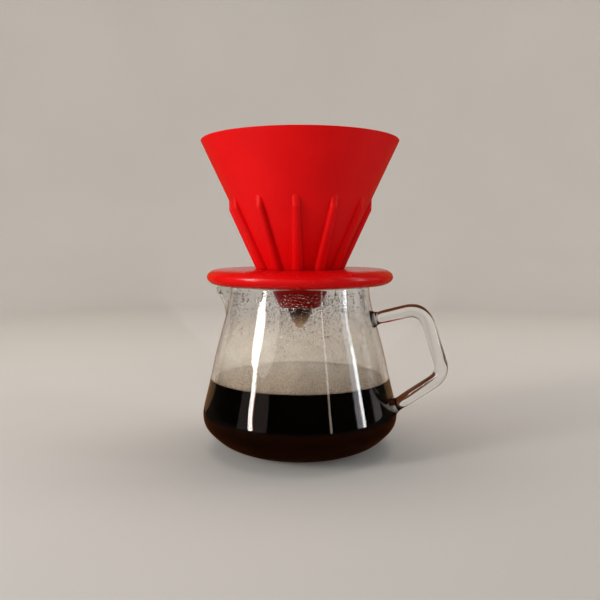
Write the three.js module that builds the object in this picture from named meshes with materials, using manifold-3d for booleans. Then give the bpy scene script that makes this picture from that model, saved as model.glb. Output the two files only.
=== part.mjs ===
// Cone coffee dripper standing on its glass server, with the paper, the grounds and the brewed coffee.
// Millimetres, +Z up. The origin is the centre of the server's flat base; +X is the handle side.
import * as THREE from 'three';
import { mergeVertices } from 'three/addons/utils/BufferGeometryUtils.js';
import Module from 'manifold-3d';

const wasm = await Module();
wasm.setup();

// ---- driving dimensions ---------------------------------------------------------------------
const TURN_SEGMENTS = 48; // facets round every turned piece
const OUTLINE_STEPS = 17; // stations down the server's outline
const FIT_GAP = 0.3; // clearance between neighbouring pieces

const CONE_RIM_Z = 182.5;
const CONE_RIM_R = 58.3;
const CONE_SLOPE = 0.472; // radius gained per millimetre of height
const CONE_OUTLET_Z = 84.6;
const CONE_WALL = 3.1; // measured level, not square to the slope
const CONE_EDGE = 0.6; // rounding of the rim and of the outlet

const RIB_COUNT = 12;
const RIB_PHASE = 15; // degrees from +X to the first rib
const RIB_TOP_Z = 149;
const RIB_NOSE = 8; // length of the rounded top end
const RIB_PROUD = [2.9, 3.5]; // top and bottom
const RIB_WIDTH = [4.2, 6.2]; // top and bottom
const RIB_ROOT = 1.4; // how far a rib reaches into the wall
const RIB_END = 0.12; // share of its size that a rib keeps at its very top

const INNER_RIB_COUNT = 12;
const INNER_RIB_TOP_Z = 166;
const INNER_RIB_PROUD = 1.2;
const INNER_RIB_WIDTH = 2;
const INNER_RIB_FADE = 4; // height over which it runs out at the top

const PLATE_Z = [98.3, 107.8]; // underside and top of the base plate
const PLATE_R = 55.4;
const PLATE_EDGE = 8; // width of the rounded edge, which is flatter than a half circle
const LUG_COUNT = 3;
const LUG_PROUD = 3; // beyond the plate's hole
const LUG_ARC = 24; // degrees
const LUG_HEIGHT = 3;
const SLOT_ARC = LUG_ARC + 3;
const UNLOCK_TURN = 30; // degrees from locked to released

const GLASS_WALL = 2;
const GLASS_BASE_Z = 2.6; // inner floor
const GLASS_RIM_Z = 98;
const BASE_R = 33; // flat part of the server's base
const SPOUT_FROM_Z = 76;
const SPOUT_REACH = 13.5;
const SPOUT_CURL = 0.26; // share of the reach that the lip's edge turns back
const SPOUT_DROP = 1.6; // how far the lip hangs below the rim
const SPOUT_HALF_ARC = 26; // degrees

const ROD_R = 3.9;
const ROD_BEND_R = 11;
const ROD_CORNERS = [[41, 77.8], [73.7, 86.7], [86, 48.6], [53.5, 25.1]]; // x and z
const PAD_R = 5.6; // flared glass where the rod is fused on
const PAD_THICK = 3;
const PAD_CENTRES = [[45.6, 79], [58.6, 28.8]]; // x and z, on the server's wall

const COFFEE_LEVEL_Z = 41.4;
const PAPER_THICK = 0.8;
const PAPER_TOP_Z = 177;
const PAPER_TIP_Z = 73.7;
const PAPER_TIP_THICK = 4; // the paper is folded up and soaked there
const BED_EDGE_Z = 132;
const BED_CENTRE_Z = 126;

// ---- materials ------------------------------------------------------------------------------
const finish = (name, color, roughness, metalness = 0, opacity = 1) =>
  new THREE.MeshStandardMaterial({
    name, color, roughness, metalness, opacity, transparent: opacity < 1,
  });

const redPlastic = finish('red_plastic', 0xc8141a, 0.5);
const clearGlass = finish('clear_glass', 0xe9eeee, 0.05, 0, 0.35);
const darkCoffee = finish('dark_coffee', 0x140804, 0.1);
const wetPaper = finish('wet_paper', 0xb98d5a, 0.85);
const wetGrounds = finish('wet_grounds', 0x24140c, 0.9);

// ---- shape helpers --------------------------------------------------------------------------
const SLANT = 1.1; // level thickness of a layer on the cone for each millimetre square to it

const rad = THREE.MathUtils.degToRad;
const mix = THREE.MathUtils.lerp;
const v2 = (r, z) => new THREE.Vector2(r, z);

// A profile of (radius, height) points turned about +Z.
const turned = (profile, segments = TURN_SEGMENTS) => {
  const geometry = new THREE.LatheGeometry(profile, segments);
  return geometry.rotateX(Math.PI / 2);
};

// Points of an arc in the profile plane, with its own radius across and up, angles in degrees.
const arc = (r, z, across, up, from, to, steps) => {
  const points = [];
  for (let i = 0; i <= steps; i += 1) {
    const a = rad(mix(from, to, i / steps));
    points.push(v2(r + across * Math.cos(a), z + up * Math.sin(a)));
  }
  return points;
};

// A closed skin through rings of points, capped flat at both ends.
const lofted = (rings) => {
  const size = rings[0].length;
  const positions = rings.flat().flatMap((p) => [p.x, p.y, p.z]);
  const index = [];
  for (let k = 0; k + 1 < rings.length; k += 1) {
    for (let i = 0; i < size; i += 1) {
      const a = k * size + i;
      const b = k * size + ((i + 1) % size);
      index.push(a, b, b + size, a, b + size, a + size);
    }
  }
  const last = (rings.length - 1) * size;
  for (let i = 1; i + 1 < size; i += 1) {
    index.push(0, i + 1, i, last, last + i, last + i + 1);
  }
  const geometry = new THREE.BufferGeometry();
  geometry.setAttribute('position', new THREE.Float32BufferAttribute(positions, 3));
  geometry.setIndex(index);
  return geometry;
};

const solidOf = (geometry) => {
  const bare = geometry.clone();
  bare.deleteAttribute('normal');
  bare.deleteAttribute('uv');
  const welded = mergeVertices(bare, 1e-4);
  return new wasm.Manifold(new wasm.Mesh({
    numProp: 3,
    vertProperties: new Float32Array(welded.attributes.position.array),
    triVerts: new Uint32Array(welded.index.array),
  }));
};

const geometryOf = (solid) => {
  const mesh = solid.getMesh();
  const geometry = new THREE.BufferGeometry();
  geometry.setAttribute('position', new THREE.BufferAttribute(mesh.vertProperties, 3));
  geometry.setIndex(new THREE.BufferAttribute(mesh.triVerts, 1));
  geometry.computeVertexNormals();
  return geometry;
};

// ---- dripper cone ---------------------------------------------------------------------------
const coneR = (z) => CONE_RIM_R + CONE_SLOPE * (z - CONE_RIM_Z);
const coneBoreR = (z) => coneR(z) - CONE_WALL;

const coneShell = () => {
  const profile = [
    v2(coneR(CONE_OUTLET_Z) - CONE_EDGE, CONE_OUTLET_Z),
    v2(coneR(CONE_OUTLET_Z + CONE_EDGE), CONE_OUTLET_Z + CONE_EDGE),
    v2(coneR(CONE_RIM_Z - CONE_EDGE), CONE_RIM_Z - CONE_EDGE),
    v2(coneR(CONE_RIM_Z) - CONE_EDGE, CONE_RIM_Z),
    v2(coneBoreR(CONE_RIM_Z) + CONE_EDGE, CONE_RIM_Z),
    v2(coneBoreR(CONE_RIM_Z - CONE_EDGE), CONE_RIM_Z - CONE_EDGE),
    v2(coneBoreR(CONE_OUTLET_Z), CONE_OUTLET_Z),
  ];
  profile.push(profile[0].clone());
  return turned(profile);
};

// One rib, standing on the base plate's top, its top end rounded off into the cone.
const outerRib = (angle) => {
  const stations = 9;
  const bottom = PLATE_Z[1] + FIT_GAP;
  const rings = [];
  for (let k = 0; k <= stations; k += 1) {
    const z = mix(bottom, RIB_TOP_Z, Math.sin((k / stations) * (Math.PI / 2)));
    const up = (z - bottom) / (RIB_TOP_Z - bottom);
    const toTop = Math.min(1, (RIB_TOP_Z - z) / RIB_NOSE);
    const rounding = Math.max(RIB_END, Math.sqrt(1 - (1 - toTop) ** 2));
    const half = (mix(RIB_WIDTH[1], RIB_WIDTH[0], up) / 2) * rounding;
    const proud = mix(RIB_PROUD[1], RIB_PROUD[0], up) * rounding;
    const crown = [[1, 0], [0.78, 0.68], [0, 1], [-0.78, 0.68], [-1, 0]];
    const section = [[-1, -RIB_ROOT], [1, -RIB_ROOT], ...crown];
    rings.push(section.map(([side, out]) => {
      const along = coneR(z) + (out < 0 ? out : out * proud);
      return new THREE.Vector3(along, side * half, z);
    }));
  }
  return lofted(rings).rotateZ(rad(angle));
};

// A low rib inside the cone that holds the paper off the wall.
const innerRib = (angle) => {
  const half = INNER_RIB_WIDTH / 2;
  const crest = half * 0.6;
  const root = 1; // into the wall
  const section = (z, proud) => [
    new THREE.Vector3(coneBoreR(z) - proud, -crest, z),
    new THREE.Vector3(coneBoreR(z) + root, -half, z),
    new THREE.Vector3(coneBoreR(z) + root, half, z),
    new THREE.Vector3(coneBoreR(z) - proud, crest, z),
  ];
  const rings = [
    section(CONE_OUTLET_Z + 1, INNER_RIB_PROUD),
    section(INNER_RIB_TOP_Z - INNER_RIB_FADE, INNER_RIB_PROUD),
    section(INNER_RIB_TOP_Z, 0.1),
  ];
  return lofted(rings).rotateZ(rad(angle));
};

// A sector of a ring about +Z, from one angle to another in degrees.
const ringSector = (rIn, rOut, zLow, zHigh, from, to) => {
  const steps = 4;
  const shape = new THREE.Shape();
  for (let i = 0; i <= steps; i += 1) {
    const a = rad(mix(from, to, i / steps));
    const point = [rOut * Math.cos(a), rOut * Math.sin(a)];
    if (i === 0) shape.moveTo(...point);
    else shape.lineTo(...point);
  }
  for (let i = steps; i >= 0; i -= 1) {
    const a = rad(mix(from, to, i / steps));
    shape.lineTo(rIn * Math.cos(a), rIn * Math.sin(a));
  }
  const geometry = new THREE.ExtrudeGeometry(shape, { depth: zHigh - zLow, bevelEnabled: false });
  return geometry.translate(0, 0, zLow);
};

const HOLE_R = coneR(PLATE_Z[0]) + FIT_GAP; // the plate's hole at its underside
const LUG_R = HOLE_R + LUG_PROUD;

const lugAngle = (k) => (360 / LUG_COUNT) * k;

const dripperCone = () => {
  let solid = solidOf(coneShell());
  for (let k = 0; k < RIB_COUNT; k += 1) {
    solid = solid.add(solidOf(outerRib(RIB_PHASE + (360 / RIB_COUNT) * k)));
  }
  for (let k = 0; k < INNER_RIB_COUNT; k += 1) {
    solid = solid.add(solidOf(innerRib((360 / INNER_RIB_COUNT) * k)));
  }
  const lugTop = PLATE_Z[0] - FIT_GAP;
  for (let k = 0; k < LUG_COUNT; k += 1) {
    const middle = lugAngle(k);
    const inside = coneR(lugTop - LUG_HEIGHT) - CONE_WALL / 2;
    solid = solid.add(solidOf(ringSector(
      inside, LUG_R, lugTop - LUG_HEIGHT, lugTop, middle - LUG_ARC / 2, middle + LUG_ARC / 2,
    )));
  }
  return geometryOf(solid);
};

// ---- base plate -----------------------------------------------------------------------------
const basePlate = () => {
  const half = (PLATE_Z[1] - PLATE_Z[0]) / 2;
  const profile = [
    v2(HOLE_R, PLATE_Z[0]),
    ...arc(PLATE_R - PLATE_EDGE, PLATE_Z[0] + half, PLATE_EDGE, half, -90, 90, 8),
    v2(coneR(PLATE_Z[1]) + FIT_GAP, PLATE_Z[1]),
    v2(HOLE_R, PLATE_Z[0]),
  ];
  let solid = solidOf(turned(profile));
  for (let k = 0; k < LUG_COUNT; k += 1) {
    const middle = lugAngle(k) + UNLOCK_TURN;
    solid = solid.subtract(solidOf(ringSector(
      HOLE_R - 1, LUG_R + FIT_GAP, PLATE_Z[0] - 1, PLATE_Z[1] + 1,
      middle - SLOT_ARC / 2, middle + SLOT_ARC / 2,
    )));
  }
  return geometryOf(solid);
};

// ---- glass server ---------------------------------------------------------------------------
// Outline of the outside, from the edge of the flat base to just under the rim.
const glassOutline = new THREE.SplineCurve([
  v2(BASE_R, 0), v2(40, 1.9), v2(47.4, 5.3), v2(53, 10), v2(57, 14.8), v2(58.4, 20), v2(57.8, 26),
  v2(54.2, 41), v2(49.4, 62), v2(43.9, 82), v2(42, 91), v2(41.6, GLASS_RIM_Z - GLASS_WALL / 2),
]);

// The outline moved along its normals: positive is outwards.
const glassOffset = (distance, count) => {
  const points = [];
  for (let i = 0; i <= count; i += 1) {
    const at = glassOutline.getPoint(i / count);
    const along = glassOutline.getTangent(i / count);
    points.push(v2(at.x + along.y * distance, at.y - along.x * distance));
  }
  return points;
};

// Radius of the inner wall at a height, less a clearance.
const glassBoreR = (z, clearance) => {
  const wall = glassOffset(-(GLASS_WALL + clearance), 120);
  const k = wall.findIndex((p, i) => i > 0 && p.y >= z);
  const t = (z - wall[k - 1].y) / (wall[k].y - wall[k - 1].y);
  return mix(wall[k - 1].x, wall[k].x, t);
};

// Pulls the rim towards -X to make the pouring lip, whose edge hangs a little and curls back.
const pullSpout = (geometry) => {
  const position = geometry.attributes.position;
  for (let i = 0; i < position.count; i += 1) {
    const [x, y, z] = [position.getX(i), position.getY(i), position.getZ(i)];
    const away = Math.abs(Math.atan2(y, -x)) / rad(SPOUT_HALF_ARC);
    const up = (z - SPOUT_FROM_Z) / (GLASS_RIM_Z - SPOUT_FROM_Z);
    if (away < 1 && up > 0) {
      const middle = Math.cos(away * (Math.PI / 2)) ** 2;
      const curl = SPOUT_CURL * up ** 14;
      const pull = 1.14 * up ** 1.1 - curl;
      position.setX(i, x - SPOUT_REACH * middle * pull);
      position.setZ(i, z - SPOUT_DROP * middle * up);
    }
  }
  return geometry;
};

const serverBody = () => {
  const outside = glassOffset(0, OUTLINE_STEPS);
  const inside = glassOffset(-GLASS_WALL, OUTLINE_STEPS).filter((p) => p.y > GLASS_BASE_Z + 0.3).reverse();
  const lip = GLASS_WALL / 2;
  const top = outside[outside.length - 1];
  const profile = [
    v2(0, 0),
    ...outside.slice(0, -1),
    ...arc(top.x - lip, top.y, lip, lip, 0, 180, 4),
    ...inside.slice(1),
    v2(glassBoreR(GLASS_BASE_Z, 0), GLASS_BASE_Z),
    v2(0, GLASS_BASE_Z),
  ];
  return pullSpout(turned(profile));
};

// ---- glass handle ---------------------------------------------------------------------------
const rodCorners = ROD_CORNERS.map(([x, z]) => v2(x, z));
const [upperPad, lowerPad] = PAD_CENTRES.map(([x, z]) => v2(x, z));

// The rod's centre line: straight runs with rounded bends between them.
const rodPath = () => {
  const path = new THREE.CurvePath();
  const point = (p) => new THREE.Vector3(p.x, 0, p.y);
  let from = rodCorners[0];
  for (let k = 1; k + 1 < rodCorners.length; k += 1) {
    const corner = rodCorners[k];
    const back = rodCorners[k - 1].clone().sub(corner).normalize();
    const ahead = rodCorners[k + 1].clone().sub(corner).normalize();
    const half = Math.acos(back.dot(ahead)) / 2;
    const setback = ROD_BEND_R / Math.tan(half);
    const enter = corner.clone().addScaledVector(back, setback);
    const leave = corner.clone().addScaledVector(ahead, setback);
    path.add(new THREE.LineCurve3(point(from), point(enter)));
    path.add(new THREE.QuadraticBezierCurve3(point(enter), point(corner), point(leave)));
    from = leave;
  }
  path.add(new THREE.LineCurve3(point(from), point(rodCorners[rodCorners.length - 1])));
  return path;
};

const rodSolid = () => {
  const section = new THREE.Shape();
  const sides = 12;
  for (let i = 0; i < sides; i += 1) {
    const a = (i / sides) * Math.PI * 2;
    const point = [ROD_R * Math.cos(a), ROD_R * Math.sin(a)];
    if (i === 0) section.moveTo(...point);
    else section.lineTo(...point);
  }
  return solidOf(new THREE.ExtrudeGeometry(section, {
    steps: 30, extrudePath: rodPath(), bevelEnabled: false,
  }));
};

// The flattened blob of glass at a fused end, centred on the server's wall.
const padSolid = (end, next) => {
  const lean = Math.atan2(next.y - end.y, next.x - end.x);
  const pad = new THREE.SphereGeometry(PAD_R, 16, 8);
  pad.rotateY(Math.PI / 2);
  pad.scale(PAD_THICK / PAD_R, 1, 1);
  pad.rotateY(-lean);
  return solidOf(pad.translate(end.x, 0, end.y));
};

const serverHandle = () => {
  const clear = [v2(0, -FIT_GAP), ...glassOffset(FIT_GAP, OUTLINE_STEPS * 2), v2(0, GLASS_RIM_Z)];
  const solid = rodSolid()
    .add(padSolid(upperPad, rodCorners[1]))
    .add(padSolid(lowerPad, rodCorners[2]))
    .subtract(solidOf(turned(clear)));
  return geometryOf(solid);
};

// ---- contents -------------------------------------------------------------------------------
const brewedCoffee = () => {
  const low = GLASS_BASE_Z + FIT_GAP;
  const wall = glassOffset(-(GLASS_WALL + FIT_GAP), OUTLINE_STEPS)
    .filter((p) => p.y > low + 0.3 && p.y < COFFEE_LEVEL_Z - 1);
  return turned([
    v2(0, low),
    v2(glassBoreR(low, FIT_GAP), low),
    ...wall,
    v2(glassBoreR(COFFEE_LEVEL_Z, FIT_GAP), COFFEE_LEVEL_Z),
    v2(0, COFFEE_LEVEL_Z),
  ]);
};

const paperR = (z) => coneBoreR(z) - (INNER_RIB_PROUD + FIT_GAP) * SLANT;
const paperBoreR = (z) => paperR(z) - PAPER_THICK * SLANT;
const PAPER_FLOOR_Z = PAPER_TIP_Z + PAPER_TIP_THICK;

const paperFilter = () => turned([
  v2(0, PAPER_TIP_Z),
  v2(paperR(PAPER_TIP_Z), PAPER_TIP_Z),
  v2(paperR(PAPER_TOP_Z), PAPER_TOP_Z),
  v2(paperBoreR(PAPER_TOP_Z), PAPER_TOP_Z),
  v2(paperBoreR(PAPER_FLOOR_Z), PAPER_FLOOR_Z),
  v2(0, PAPER_FLOOR_Z),
]);

const coffeeGrounds = () => {
  const low = PAPER_FLOOR_Z + FIT_GAP;
  const bedR = (z) => paperBoreR(z) - FIT_GAP * SLANT;
  const dish = [];
  const steps = 5;
  for (let i = 1; i <= steps; i += 1) {
    const t = 1 - i / steps;
    dish.push(v2(bedR(BED_EDGE_Z) * t, mix(BED_CENTRE_Z, BED_EDGE_Z, t * t)));
  }
  return turned([v2(0, low), v2(bedR(low), low), v2(bedR(BED_EDGE_Z), BED_EDGE_Z), ...dish]);
};

// ---- assembly -------------------------------------------------------------------------------
const group = new THREE.Group();
const place = (name, geometry, material) => {
  const mesh = new THREE.Mesh(geometry, material);
  mesh.name = name;
  group.add(mesh);
};

place('server_body', serverBody(), clearGlass);
place('server_handle', serverHandle(), clearGlass);
place('brewed_coffee', brewedCoffee(), darkCoffee);
place('base_plate', basePlate(), redPlastic);
place('dripper_cone', dripperCone(), redPlastic);
place('paper_filter', paperFilter(), wetPaper);
place('coffee_grounds', coffeeGrounds(), wetGrounds);

export default group;
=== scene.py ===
"""Looks of a cone dripper on its glass server: surfaces, water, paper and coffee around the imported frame.

Lengths are in millimetres while a shape is worked out and become metres when its mesh is made.
"""
import math
import random

import bmesh
import bpy
import numpy as np
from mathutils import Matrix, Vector, noise


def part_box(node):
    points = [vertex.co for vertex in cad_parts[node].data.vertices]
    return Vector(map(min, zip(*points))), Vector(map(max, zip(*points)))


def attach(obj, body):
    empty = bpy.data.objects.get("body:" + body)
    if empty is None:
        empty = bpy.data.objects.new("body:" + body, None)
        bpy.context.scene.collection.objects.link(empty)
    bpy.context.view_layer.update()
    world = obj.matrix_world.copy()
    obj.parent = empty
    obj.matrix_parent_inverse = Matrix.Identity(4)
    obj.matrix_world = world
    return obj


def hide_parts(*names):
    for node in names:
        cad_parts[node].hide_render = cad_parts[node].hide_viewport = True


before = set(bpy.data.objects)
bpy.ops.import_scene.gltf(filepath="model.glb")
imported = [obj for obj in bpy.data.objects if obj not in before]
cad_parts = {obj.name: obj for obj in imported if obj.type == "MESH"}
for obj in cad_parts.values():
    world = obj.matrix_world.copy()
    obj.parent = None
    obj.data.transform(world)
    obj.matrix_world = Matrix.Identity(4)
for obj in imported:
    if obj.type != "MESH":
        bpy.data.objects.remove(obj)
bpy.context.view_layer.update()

MM = 0.001


def box_mm(node):
    low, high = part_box(node)
    return [c / MM for c in low], [c / MM for c in high]


# ---- sizes taken from the frame ---------------------------------------------------------------
CONE_LOW, CONE_HIGH = box_mm("dripper_cone")
PLATE_LOW, PLATE_HIGH = box_mm("base_plate")
PAPER_LOW, PAPER_HIGH = box_mm("paper_filter")

# Cone: outside radius against height, and the level thickness of its wall.
CONE_SLOPE = 0.472
CONE_WALL = 3.1
RIM_Z, OUTLET_Z = CONE_HIGH[2], CONE_LOW[2]
RIM_R = 58.3
RIM_ROUND = 0.7
LIP_ROUND = 0.8       # rounding of the outlet's edge
RIB_COUNT = 12
RIB_TOP_Z = 149.0
RIB_RAMP = 6.5        # height over which a rib rises from the wall
RIB_NOSE = 2.4        # height over which its end reaches full width
INNER_RIB_TOP_Z = 166.0
INNER_RIB_PROUD = 1.2
INNER_RIB_WIDTH = 2.0

PLATE_Z = (PLATE_LOW[2], PLATE_HIGH[2])
PLATE_R = PLATE_HIGH[1]
PLATE_EDGE = 8.0      # width of the rounded edge, which is flatter than a half circle
FIT_GAP = 0.3
LUG_Z = (PLATE_Z[0] - FIT_GAP - 3.0, PLATE_Z[0] - FIT_GAP)
LUG_ARC = 24.0
LUG_PROUD = 3.0
LUG_COUNT = 3
UNLOCK_TURN = 30.0

# Server: outline of the outside from the edge of the flat base to the rim.
GLASS_POINTS = [
    (33.0, 0.0), (40.0, 1.9), (47.4, 5.3), (53.0, 10.0), (57.0, 14.8), (58.4, 20.0), (57.8, 26.0),
    (54.2, 41.0), (49.4, 62.0), (43.9, 82.0), (42.0, 91.0), (41.6, 97.0),
]
GLASS_WALL = 2.0
GLASS_RIM_Z = box_mm("server_body")[1][2]
GLASS_FLOOR_Z = 2.6
SPOUT_FROM_Z = 76.0
SPOUT_REACH = 13.5
SPOUT_CURL = 0.26     # how far the lip's edge comes back, as a share of the reach
SPOUT_DROP = 1.6
SPOUT_HALF_ARC = 26.0
COFFEE_Z = box_mm("brewed_coffee")[1][2]
MENISCUS = 1.1
SINK = 0.4            # how far the coffee's skin lies inside the glass, so that no air gap shows

ROD_R = 3.82
ROD_BEND_R = 11.0
ROD_HOLD = 7.0        # length at each end that is drawn out to meet the wall
ROD_END = 9.0         # length at each end that is meshed closely
ROD_FLARE, FLARE_REACH = 1.35, 1.9
ROD_NECK, NECK_PLACE, NECK_REACH = 0.25, 4.5, 2.2
ROD_CORNERS = [(41.0, 77.8), (73.7, 86.7), (86.0, 48.6), (53.5, 25.1)]

# Camera: level distance from the axis, height, downward tilt and angle round the object.
CAMERA_DISTANCE, CAMERA_Z, CAMERA_TILT, CAMERA_AZIMUTH = 399.8, 122.5, 4.81, 18.0
CAMERA_LENS = 39.97


# ---- small helpers ----------------------------------------------------------------------------
def mix(a, b, t):
    return a + (b - a) * t


def clamp01(t):
    return np.clip(t, 0.0, 1.0)


def smooth(t):
    t = clamp01(t)
    return t * t * (3 - 2 * t)


def uneven(x, y, z):
    """A smooth random value between about -1 and 1 that depends on the place alone."""
    return noise.noise(Vector((x, y, z)))


def make_piece(name, verts, faces, material, smooth_shade=True):
    """A mesh object from millimetre vertices, with its faces turned outwards."""
    mesh = bpy.data.meshes.new(name)
    mesh.from_pydata((np.asarray(verts, float) * MM).tolist(), [], [list(map(int, f)) for f in faces])
    mesh.materials.append(material)
    work = bmesh.new()
    work.from_mesh(mesh)
    bmesh.ops.recalc_face_normals(work, faces=work.faces)
    work.to_mesh(mesh)
    work.free()
    mesh.polygons.foreach_set("use_smooth", np.full(len(mesh.polygons), smooth_shade))
    mesh.update()
    piece = bpy.data.objects.new(name, mesh)
    bpy.context.scene.collection.objects.link(piece)
    return piece


def skin(rings, caps=True, loop=False):
    """Vertices and faces through rings of equal size; caps are fans, a loop joins last to first."""
    rings = np.asarray(rings, float)
    count, size, _ = rings.shape
    verts = rings.reshape(-1, 3).tolist()
    faces = []
    last = count if loop else count - 1
    for k in range(last):
        a, b = k * size, ((k + 1) % count) * size
        for i in range(size):
            j = (i + 1) % size
            faces.append((a + i, a + j, b + j, b + i))
    if caps and not loop:
        for k in (0, count - 1):
            verts.append(rings[k].mean(axis=0).tolist())
            centre = len(verts) - 1
            faces += [(k * size + i, k * size + (i + 1) % size, centre) for i in range(size)]
    return verts, faces


def add_copy(verts, faces, points, shape_faces):
    """Adds one more copy of a small shape to a growing mesh."""
    base = len(verts)
    verts.extend(points.tolist())
    faces.extend([tuple(base + i for i in face) for face in shape_faces])


def ring(radius, z, theta):
    """A ring about +Z; radius and z may be numbers or one value for each angle."""
    radius = np.broadcast_to(radius, theta.shape)
    z = np.broadcast_to(z, theta.shape)
    return np.stack([radius * np.cos(theta), radius * np.sin(theta), z], axis=1)


def even_angles(count):
    return np.arange(count) * (2 * math.pi / count)


def hard_edges(piece, degrees):
    """Keeps creases sharper than the angle crisp on a smooth-shaded piece."""
    work = bmesh.new()
    work.from_mesh(piece.data)
    for edge in work.edges:
        if len(edge.link_faces) == 2:
            edge.smooth = edge.calc_face_angle(0) < math.radians(degrees)
    work.to_mesh(piece.data)
    work.free()


def skinned(name, rings, material, loop=False, crease=None):
    """A piece made from rings, its edges crisp where they turn by more than the crease."""
    verts, faces = skin(rings, loop=loop)
    piece = make_piece(name, verts, faces, material)
    if crease:
        hard_edges(piece, crease)
    return piece


# ---- materials --------------------------------------------------------------------------------
class Nodes:
    """A short way to build a material's node tree."""

    def __init__(self, name):
        self.material = bpy.data.materials.new(name)
        self.material.use_nodes = True
        self.tree = self.material.node_tree
        self.tree.nodes.clear()
        self.out = self.add("ShaderNodeOutputMaterial")

    def add(self, kind, **values):
        node = self.tree.nodes.new(kind)
        for key, value in values.items():
            key = key.replace("_", " ")
            if key in node.inputs:
                node.inputs[key].default_value = value
            else:
                setattr(node, key.replace(" ", "_"), value)
        return node

    def join(self, source, target):
        self.tree.links.new(source, target)

    def put(self, value, target):
        """Sets a socket to a number or a colour, or joins it to a source."""
        if isinstance(value, tuple):
            target.default_value = (*value, 1.0)
        elif isinstance(value, (int, float)):
            target.default_value = value
        else:
            self.join(value, target)

    def coords(self):
        return self.add("ShaderNodeTexCoord").outputs["Object"]

    def noise(self, scale, detail, roughness=0.5):
        node = self.add("ShaderNodeTexNoise", Scale=scale, Detail=detail, Roughness=roughness)
        self.join(self.coords(), node.inputs["Vector"])
        return node.outputs["Fac"]

    def ramp(self, factor, stops):
        node = self.add("ShaderNodeValToRGB")
        elements = node.color_ramp.elements
        while len(elements) < len(stops):
            elements.new(0.5)
        for element, (place, colour) in zip(elements, stops):
            element.position = place
            element.color = (*colour, 1.0)
        self.join(factor, node.inputs["Fac"])
        return node.outputs["Color"]

    def span(self, value, low, high, to_low=0.0, to_high=1.0):
        node = self.add("ShaderNodeMapRange")
        node.inputs["From Min"].default_value = low
        node.inputs["From Max"].default_value = high
        node.inputs["To Min"].default_value = to_low
        node.inputs["To Max"].default_value = to_high
        self.join(value, node.inputs["Value"])
        return node.outputs["Result"]

    def math(self, operation, a, b):
        node = self.add("ShaderNodeMath")
        node.operation = operation
        for socket, value in zip(node.inputs, (a, b)):
            self.put(value, socket)
        return node.outputs["Value"]

    def axis(self, letter):
        split = self.add("ShaderNodeSeparateXYZ")
        self.join(self.coords(), split.inputs["Vector"])
        return split.outputs[letter]

    def height(self):
        return self.axis("Z")

    def mix_colour(self, factor, a, b, blend="MIX"):
        node = self.add("ShaderNodeMix")
        node.data_type = "RGBA"
        node.blend_type = blend
        for place, value in ((0, factor), (6, a), (7, b)):
            self.put(value, node.inputs[place])
        return node.outputs[2]

    def mix_shader(self, factor, a, b):
        node = self.add("ShaderNodeMixShader")
        for socket, value in zip(node.inputs, (factor, a, b)):
            self.put(value, socket)
        return node.outputs[0]

    def bump(self, height, distance, strength, normal=None):
        node = self.add("ShaderNodeBump", Strength=strength, Distance=distance)
        self.join(height, node.inputs["Height"])
        if normal is not None:
            self.join(normal, node.inputs["Normal"])
        return node.outputs["Normal"]

    def principled(self, **values):
        return self.add("ShaderNodeBsdfPrincipled", **values)

    def clear_shader(self, ior, roughness, colour, scale, distance, strength):
        """A clear solid, with a faint unevenness of that scale, distance and strength."""
        shader = self.principled(IOR=ior, Roughness=roughness)
        shader.inputs["Base Color"].default_value = (*colour, 1.0)
        shader.inputs["Transmission Weight"].default_value = 1.0
        self.join(self.bump(self.noise(scale, 1.0), distance, strength), shader.inputs["Normal"])
        return shader.outputs[0]

    def finish(self, shader, volume=None):
        self.join(shader, self.out.inputs["Surface"])
        if volume is not None:
            self.join(volume, self.out.inputs["Volume"])
        return self.material

    def lets_light_through(self, shader, tint):
        """Lamps shine through the shader, as through clear glass."""
        clear = self.add("ShaderNodeBsdfTransparent")
        clear.inputs["Color"].default_value = (*tint, 1.0)
        path = self.add("ShaderNodeLightPath")
        either = self.math("MAXIMUM", path.outputs["Is Shadow Ray"], path.outputs["Is Diffuse Ray"])
        return self.mix_shader(either, shader, clear.outputs[0])


def red_plastic(name, smoothest, roughest, gloss):
    """Red moulded plastic, with painted shade below the plate, where the disc shades the cone and coffee
    also wets it.
    """
    n = Nodes(name)
    cloud = n.noise(38.0, 3.0)
    colour = n.ramp(cloud, [(0.3, (0.57, 0.001, 0.002)), (0.7, (0.63, 0.002, 0.003))])
    # Painted shade: darker below the plate, standing in for the disc's shadow on the outlet and also for
    # coffee wetting it.
    painted_shade_and_wet = n.span(n.height(), (PLATE_Z[0] - 1.0) * MM, (PLATE_Z[0] - 5.0) * MM, 0.0, 0.75)
    colour = n.mix_colour(painted_shade_and_wet, colour, (0.13, 0.001, 0.001))
    shader = n.principled(IOR=1.5)
    shader.inputs["Specular IOR Level"].default_value = gloss
    n.join(colour, shader.inputs["Base Color"])
    n.join(n.span(n.noise(160.0, 4.0), 0.3, 0.7, smoothest, roughest), shader.inputs["Roughness"])
    swell = n.bump(n.noise(110.0, 2.0), 0.00012, 0.35)
    n.join(n.bump(n.noise(2600.0, 2.0), 0.00002, 0.5, swell), shader.inputs["Normal"])
    return n.finish(shader.outputs[0])


def clear_glass():
    n = Nodes("clear_glass")
    shader = n.clear_shader(1.47, 0.0, (0.985, 0.99, 0.985), 20.0, 0.0004, 0.10)
    return n.finish(n.lets_light_through(shader, (0.93, 0.94, 0.93)))


def water():
    n = Nodes("water_drops")
    shader = n.clear_shader(1.33, 0.0, (0.97, 0.97, 0.96), 900.0, 0.00005, 0.3)
    return n.finish(n.lets_light_through(shader, (0.9, 0.9, 0.9)))


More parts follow.
